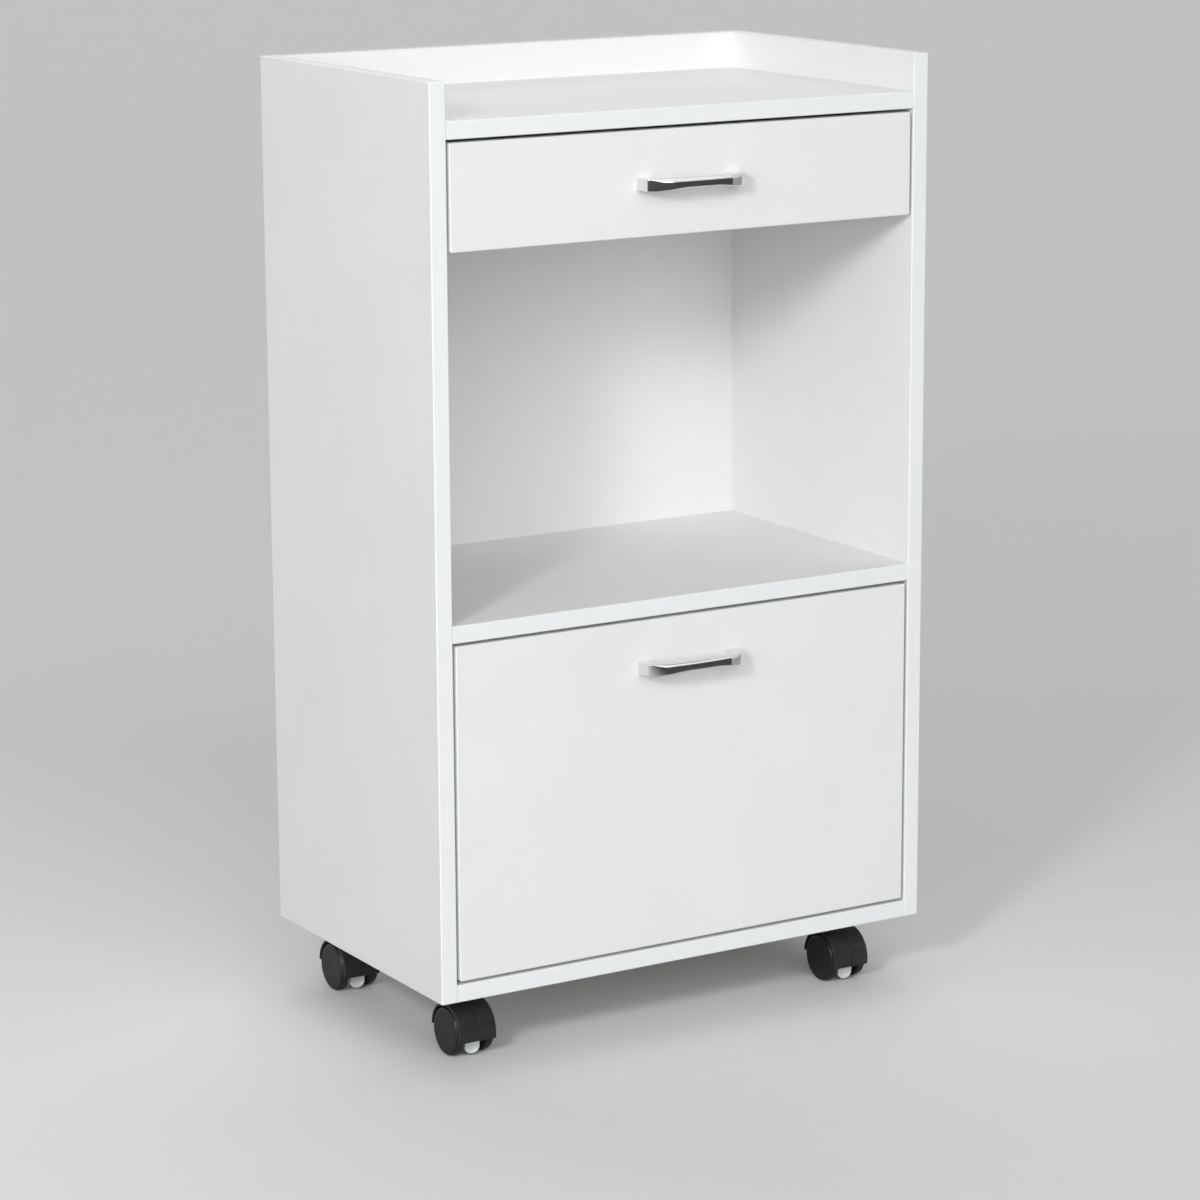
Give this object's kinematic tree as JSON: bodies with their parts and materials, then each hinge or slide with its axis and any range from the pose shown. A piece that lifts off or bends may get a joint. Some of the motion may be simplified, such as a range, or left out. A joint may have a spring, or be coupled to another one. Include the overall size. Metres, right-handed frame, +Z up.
{
  "type": "salon trolley",
  "caption": "White board salon trolley on twin-wheel castors, with a raised-edge top, a drawer, an open niche and a drop-down flap with bow handles.",
  "frame": {"origin": "on the floor, under the middle of the whole trolley's bounding box", "axes": "+X to the trolley's right seen from its front, +Y towards its back, +Z up; the fronts look along -Y"},
  "size_m": [0.52, 0.346, 0.885],
  "materials": {
    "white_board": "smooth white melamine faced board with a satin sheen and matching edges",
    "white_hardboard": "thin board with a smooth white faced side",
    "beech_dowel": "plain turned beech",
    "polished_chrome": "polished chrome plating on die-cast zinc",
    "zinc_steel": "bright zinc plating",
    "coated_steel": "white epoxy coating on sheet steel",
    "white_nylon": "moulded white nylon",
    "black_plastic": "moulded black plastic with a fine satin grain",
    "black_nylon": "smooth hard black nylon",
    "pedal_plastic": "smooth milky white plastic"
  },
  "bodies": {
    "root": {"left_side_panel": "white_board", "right_side_panel": "white_board", "back_panel": "white_board", "top_board": "white_board", "middle_shelf": "white_board", "bottom_board": "white_board", "panel_dowels": "beech_dowel", "cam_fittings": "zinc_steel", "back_screws": "zinc_steel", "cabinet_runner_left": "coated_steel", "cabinet_runner_right": "coated_steel", "runner_screws": "zinc_steel", "flap_pins": "zinc_steel", "magnetic_catch": "white_nylon", "catch_screws": "zinc_steel", "stay_studs": "zinc_steel", "castor_plates": "zinc_steel", "castor_screws": "zinc_steel"},
    "drawer": {"drawer_front": "white_board", "drawer_side_left": "white_board", "drawer_side_right": "white_board", "drawer_back": "white_board", "drawer_bottom": "white_hardboard", "drawer_runner_left": "coated_steel", "drawer_runner_right": "coated_steel", "drawer_screws": "zinc_steel", "drawer_handle": "polished_chrome", "drawer_handle_screws": "zinc_steel"},
    "flap": {"flap_panel": "white_board", "flap_handle": "polished_chrome", "flap_screws": "zinc_steel", "flap_bushes": "white_nylon", "strike_plate": "zinc_steel", "stay_brackets": "zinc_steel"},
    "cabinet_roller_left": {"cabinet_roller_left": "white_nylon"},
    "drawer_roller_left": {"drawer_roller_left": "white_nylon"},
    "stay_bar_left": {"stay_bar_left": "zinc_steel"},
    "cabinet_roller_right": {"cabinet_roller_right": "white_nylon"},
    "drawer_roller_right": {"drawer_roller_right": "white_nylon"},
    "stay_bar_right": {"stay_bar_right": "zinc_steel"},
    "castor_front_left": {"castor_hood_front_left": "black_plastic", "castor_axle_front_left": "zinc_steel"},
    "castor_wheel_left_front_left": {"castor_wheel_left_front_left": "black_nylon"},
    "castor_wheel_right_front_left": {"castor_wheel_right_front_left": "black_nylon"},
    "castor_pedal_front_left": {"castor_pedal_front_left": "pedal_plastic"},
    "castor_front_right": {"castor_hood_front_right": "black_plastic", "castor_axle_front_right": "zinc_steel"},
    "castor_wheel_left_front_right": {"castor_wheel_left_front_right": "black_nylon"},
    "castor_wheel_right_front_right": {"castor_wheel_right_front_right": "black_nylon"},
    "castor_pedal_front_right": {"castor_pedal_front_right": "pedal_plastic"},
    "castor_back_left": {"castor_hood_back_left": "black_plastic", "castor_axle_back_left": "zinc_steel"},
    "castor_wheel_left_back_left": {"castor_wheel_left_back_left": "black_nylon"},
    "castor_wheel_right_back_left": {"castor_wheel_right_back_left": "black_nylon"},
    "castor_pedal_back_left": {"castor_pedal_back_left": "pedal_plastic"},
    "castor_back_right": {"castor_hood_back_right": "black_plastic", "castor_axle_back_right": "zinc_steel"},
    "castor_wheel_left_back_right": {"castor_wheel_left_back_right": "black_nylon"},
    "castor_wheel_right_back_right": {"castor_wheel_right_back_right": "black_nylon"},
    "castor_pedal_back_right": {"castor_pedal_back_right": "pedal_plastic"}
  },
  "joints": [
    {"name": "drawer_slide", "type": "slide", "parent": "root", "child": "drawer", "axis": [0, -1, 0], "range_m": [0, 0.202]},
    {"name": "flap_hinge", "type": "hinge", "parent": "root", "child": "flap", "pos_m": [0, -0.14, 0.093], "axis": [1, 0, 0], "range_deg": [0, 90]},
    {"name": "cabinet_roller_left_spin", "type": "hinge", "parent": "root", "child": "cabinet_roller_left", "pos_m": [0, -0.116, 0.75725], "axis": [1, 0, 0], "range_deg": [0, 1290]},
    {"name": "drawer_roller_left_spin", "type": "hinge", "parent": "drawer", "child": "drawer_roller_left", "pos_m": [0, 0.11, 0.75425], "axis": [1, 0, 0], "range_deg": [0, 1290]},
    {"name": "stay_left_pivot", "type": "hinge", "parent": "flap", "child": "stay_bar_left", "pos_m": [0, -0.121, 0.24179], "axis": [1, 0, 0], "range_deg": [-45, 0]},
    {"name": "cabinet_roller_right_spin", "type": "hinge", "parent": "root", "child": "cabinet_roller_right", "pos_m": [0, -0.116, 0.75725], "axis": [1, 0, 0], "range_deg": [0, 1290]},
    {"name": "drawer_roller_right_spin", "type": "hinge", "parent": "drawer", "child": "drawer_roller_right", "pos_m": [0, 0.11, 0.75425], "axis": [1, 0, 0], "range_deg": [0, 1290]},
    {"name": "stay_right_pivot", "type": "hinge", "parent": "flap", "child": "stay_bar_right", "pos_m": [0, -0.121, 0.24179], "axis": [1, 0, 0], "range_deg": [-45, 0]},
    {"name": "castor_front_left_swivel", "type": "hinge", "parent": "root", "child": "castor_front_left", "pos_m": [-0.212, -0.088, 0.05], "axis": [0, 0, 1], "continuous": true},
    {"name": "castor_wheel_left_front_left_spin", "type": "hinge", "parent": "castor_front_left", "child": "castor_wheel_left_front_left", "pos_m": [-0.212, -0.1, 0.0225], "axis": [1, 0, 0], "continuous": true},
    {"name": "castor_wheel_right_front_left_spin", "type": "hinge", "parent": "castor_front_left", "child": "castor_wheel_right_front_left", "pos_m": [-0.212, -0.1, 0.0225], "axis": [1, 0, 0], "continuous": true},
    {"name": "castor_pedal_front_left_press", "type": "hinge", "parent": "castor_front_left", "child": "castor_pedal_front_left", "pos_m": [-0.212, -0.112, 0.032], "axis": [-1, 0, 0], "range_deg": [0, 14]},
    {"name": "castor_front_right_swivel", "type": "hinge", "parent": "root", "child": "castor_front_right", "pos_m": [0.198, -0.088, 0.05], "axis": [0, 0, 1], "continuous": true},
    {"name": "castor_wheel_left_front_right_spin", "type": "hinge", "parent": "castor_front_right", "child": "castor_wheel_left_front_right", "pos_m": [0.198, -0.1, 0.0225], "axis": [1, 0, 0], "continuous": true},
    {"name": "castor_wheel_right_front_right_spin", "type": "hinge", "parent": "castor_front_right", "child": "castor_wheel_right_front_right", "pos_m": [0.198, -0.1, 0.0225], "axis": [1, 0, 0], "continuous": true},
    {"name": "castor_pedal_front_right_press", "type": "hinge", "parent": "castor_front_right", "child": "castor_pedal_front_right", "pos_m": [0.198, -0.112, 0.032], "axis": [-1, 0, 0], "range_deg": [0, 14]},
    {"name": "castor_back_left_swivel", "type": "hinge", "parent": "root", "child": "castor_back_left", "pos_m": [-0.212, 0.135, 0.05], "axis": [0, 0, 1], "continuous": true},
    {"name": "castor_wheel_left_back_left_spin", "type": "hinge", "parent": "castor_back_left", "child": "castor_wheel_left_back_left", "pos_m": [-0.212, 0.123, 0.0225], "axis": [1, 0, 0], "continuous": true},
    {"name": "castor_wheel_right_back_left_spin", "type": "hinge", "parent": "castor_back_left", "child": "castor_wheel_right_back_left", "pos_m": [-0.212, 0.123, 0.0225], "axis": [1, 0, 0], "continuous": true},
    {"name": "castor_pedal_back_left_press", "type": "hinge", "parent": "castor_back_left", "child": "castor_pedal_back_left", "pos_m": [-0.212, 0.111, 0.032], "axis": [-1, 0, 0], "range_deg": [0, 14]},
    {"name": "castor_back_right_swivel", "type": "hinge", "parent": "root", "child": "castor_back_right", "pos_m": [0.198, 0.135, 0.05], "axis": [0, 0, 1], "continuous": true},
    {"name": "castor_wheel_left_back_right_spin", "type": "hinge", "parent": "castor_back_right", "child": "castor_wheel_left_back_right", "pos_m": [0.198, 0.123, 0.0225], "axis": [1, 0, 0], "continuous": true},
    {"name": "castor_wheel_right_back_right_spin", "type": "hinge", "parent": "castor_back_right", "child": "castor_wheel_right_back_right", "pos_m": [0.198, 0.123, 0.0225], "axis": [1, 0, 0], "continuous": true},
    {"name": "castor_pedal_back_right_press", "type": "hinge", "parent": "castor_back_right", "child": "castor_pedal_back_right", "pos_m": [0.198, 0.111, 0.032], "axis": [-1, 0, 0], "range_deg": [0, 14]}
  ],
  "couplings": [
    {"joint": "cabinet_roller_left_spin", "follows": "drawer_slide", "rad_per_m": 111.11},
    {"joint": "drawer_roller_left_spin", "follows": "drawer_slide", "rad_per_m": 111.11},
    {"joint": "stay_left_pivot", "follows": "flap_hinge", "ratio": -0.5},
    {"joint": "cabinet_roller_right_spin", "follows": "drawer_slide", "rad_per_m": 111.11},
    {"joint": "drawer_roller_right_spin", "follows": "drawer_slide", "rad_per_m": 111.11},
    {"joint": "stay_right_pivot", "follows": "flap_hinge", "ratio": -0.5}
  ]
}
